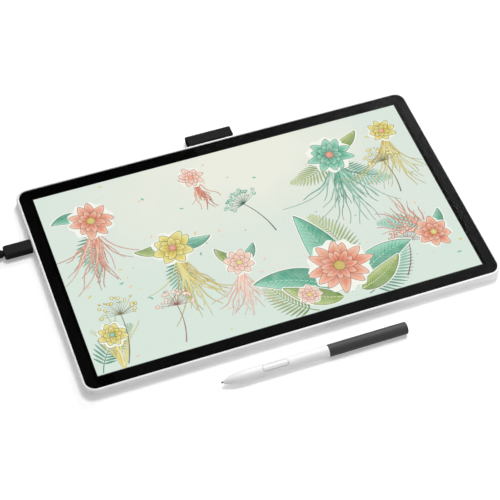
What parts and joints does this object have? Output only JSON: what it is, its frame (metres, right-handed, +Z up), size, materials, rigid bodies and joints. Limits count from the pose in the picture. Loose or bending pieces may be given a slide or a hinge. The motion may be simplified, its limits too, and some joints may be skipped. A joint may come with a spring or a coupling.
{
  "type": "pen display tablet",
  "caption": "Flat pen display with a glass front, a woven pen loop at the rear edge, its pen in front and a coiled lead.",
  "frame": {"origin": "on the desk, under the middle of the box round the display, its loop and its pen", "axes": "+X along the display's long side to the right, +Y towards its rear edge with the pen loop, +Z up"},
  "size_m": [0.4545, 0.2398, 0.026],
  "materials": {
    "casing": "fine satin white",
    "cover_glass": "clear with a faint matte etch",
    "clear_bond": "clear",
    "border_ink": "black print",
    "tape": "black foam tape",
    "panel": "lit picture, pale mint",
    "polariser": "smooth film",
    "film": "milky film",
    "light_guide": "clear sheet",
    "lamp_strip": "white strip with yellow lamps",
    "reflector": "white film",
    "pan_metal": "bare sheet",
    "circuit_board": "green solder mask",
    "shield_foil": "foil",
    "foam": "open foam",
    "chips": "moulded",
    "tin": "tinned sheet",
    "screw_steel": "zinc plated",
    "ribbon": "amber film",
    "socket_steel": "plated",
    "black_plastic": "moulded",
    "key_plastic": "fine satin white",
    "light_pipe": "clear rod",
    "webbing": "tight black weave",
    "foot_rubber": "matt",
    "pen_white": "fine satin white",
    "pen_dark": "soft-touch dark grey",
    "nib_plastic": "hard plastic",
    "ferrite": "sintered",
    "copper": "enamelled wire",
    "inner_plastic": "moulded",
    "switch_metal": "stamped",
    "rocker_plastic": "fine satin",
    "cable_jacket": "matt black",
    "tie_strap": "black hook strap"
  },
  "bodies": {
    "display": {"front_frame": "casing", "rear_cover": "casing", "case_screws": "screw_steel", "foot_front_left": "foot_rubber", "foot_front_right": "foot_rubber", "foot_rear_left": "foot_rubber", "foot_rear_right": "foot_rubber", "cover_glass": "cover_glass", "glass_border": "border_ink", "glass_tape": "tape", "optical_bond": "clear_bond", "polarisers": "polariser", "lcd_cell": "panel", "film_stack": "film", "light_guide": "light_guide", "led_strip": "lamp_strip", "reflector": "reflector", "backlight_pan": "pan_metal", "sensor_board": "circuit_board", "sensor_shield": "shield_foil", "support_foam": "foam", "main_board": "circuit_board", "board_chips": "chips", "board_shield_can": "tin", "board_screws": "screw_steel", "display_ribbon": "ribbon", "sensor_ribbon": "ribbon", "usb_socket_shell": "socket_steel", "usb_socket_tongue": "black_plastic", "power_board": "circuit_board", "status_light": "light_pipe", "pen_loop": "webbing", "loop_rod": "screw_steel"},
    "power_key": {"power_key": "key_plastic"},
    "pen": {"pen_front_barrel": "pen_white", "pen_rear_barrel": "pen_dark", "pen_end_cap": "pen_dark", "pen_ferrite": "ferrite", "pen_winding": "copper", "pen_force_sensor": "inner_plastic", "pen_chassis": "inner_plastic", "pen_board": "circuit_board", "pen_switches": "switch_metal", "pen_rocker_pin": "screw_steel"},
    "pen_nib": {"pen_nib": "nib_plastic", "pen_nib_holder": "inner_plastic"},
    "pen_rocker": {"pen_rocker": "rocker_plastic"},
    "cable": {"plug_shell": "socket_steel", "plug_insert": "black_plastic", "plug_grip": "cable_jacket", "plug_relief": "cable_jacket", "cable_lead": "cable_jacket", "cable_coil": "cable_jacket", "cable_tail": "cable_jacket", "cable_tie": "tie_strap", "host_relief": "cable_jacket", "host_grip": "cable_jacket", "host_insert": "black_plastic", "host_shell": "socket_steel"}
  },
  "joints": [
    {"name": "pen_lift", "type": "slide", "parent": "display", "child": "pen", "axis": [0, 0, 1], "range_m": [0, 0.12]},
    {"name": "nib_press", "type": "slide", "parent": "pen", "child": "pen_nib", "axis": [1, 0, 0], "range_m": [0, 0.0004], "stiffness_N_per_m": 2000},
    {"name": "rocker_tilt", "type": "hinge", "parent": "pen", "child": "pen_rocker", "pos_m": [-0.0289, -0.11418, 0.00657], "axis": [0, 0.9563, 0.2924], "range_deg": [-2.5, 2.5], "stiffness_Nm_per_rad": 0.15},
    {"name": "power_key_press", "type": "slide", "parent": "display", "child": "power_key", "axis": [0, -1, 0], "range_m": [0, 0.0004], "stiffness_N_per_m": 2500},
    {"name": "plug_pull", "type": "slide", "parent": "display", "child": "cable", "axis": [-1, 0, 0], "range_m": [0, 0.012]}
  ]
}
